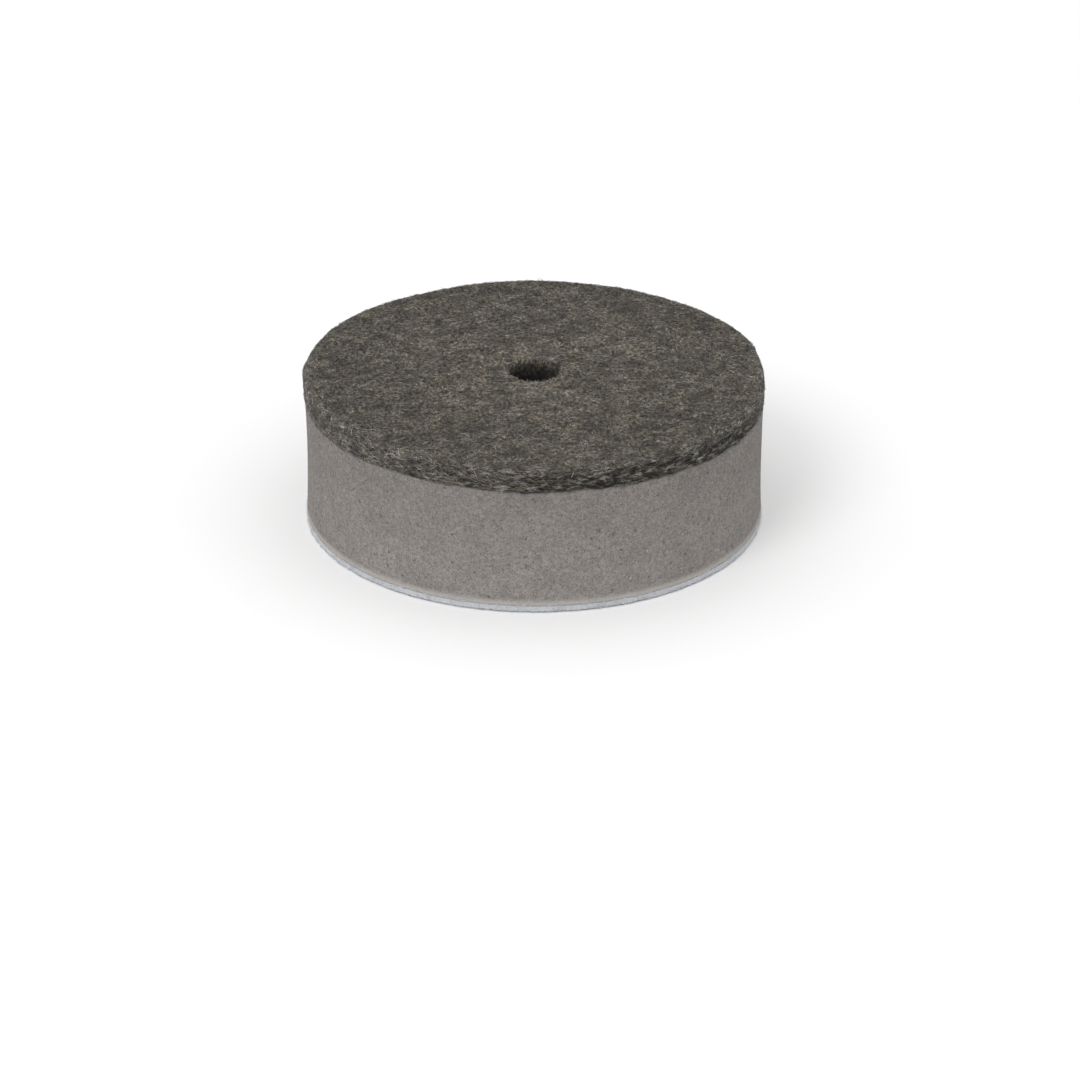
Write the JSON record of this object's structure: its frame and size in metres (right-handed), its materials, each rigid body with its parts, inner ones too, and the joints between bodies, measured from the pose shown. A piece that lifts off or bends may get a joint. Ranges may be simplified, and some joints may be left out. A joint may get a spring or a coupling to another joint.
{
  "type": "felt polishing wheel",
  "caption": "Disc-shaped polishing wheel: a needled felt face bonded to a grey foam core, with a white hook-and-loop back and a plain centre hole, for polishing stones.",
  "frame": {"origin": "centre of the centre hole on the loop back, the face that is pressed onto a backing plate", "axes": "+Z along the wheel's axis, from the loop back to the felt working face; +X and +Y are any two radial directions, because the wheel is round"},
  "size_m": [0.075, 0.075, 0.025],
  "materials": {
    "needled_felt": "matte needled felt, dark grey-brown fibre blend",
    "adhesive_film": "satin hot-melt film",
    "foam": "matte open-cell polyurethane foam, warm grey",
    "loop_knit": "matte white warp-knit ground",
    "loop_pile": "matte white brushed loops"
  },
  "bodies": {
    "root": {"felt_face": "needled_felt", "front_adhesive_film": "adhesive_film", "foam_core": "foam", "rear_adhesive_film": "adhesive_film", "loop_ground_cloth": "loop_knit", "loop_pile": "loop_pile"}
  },
  "joints": []
}
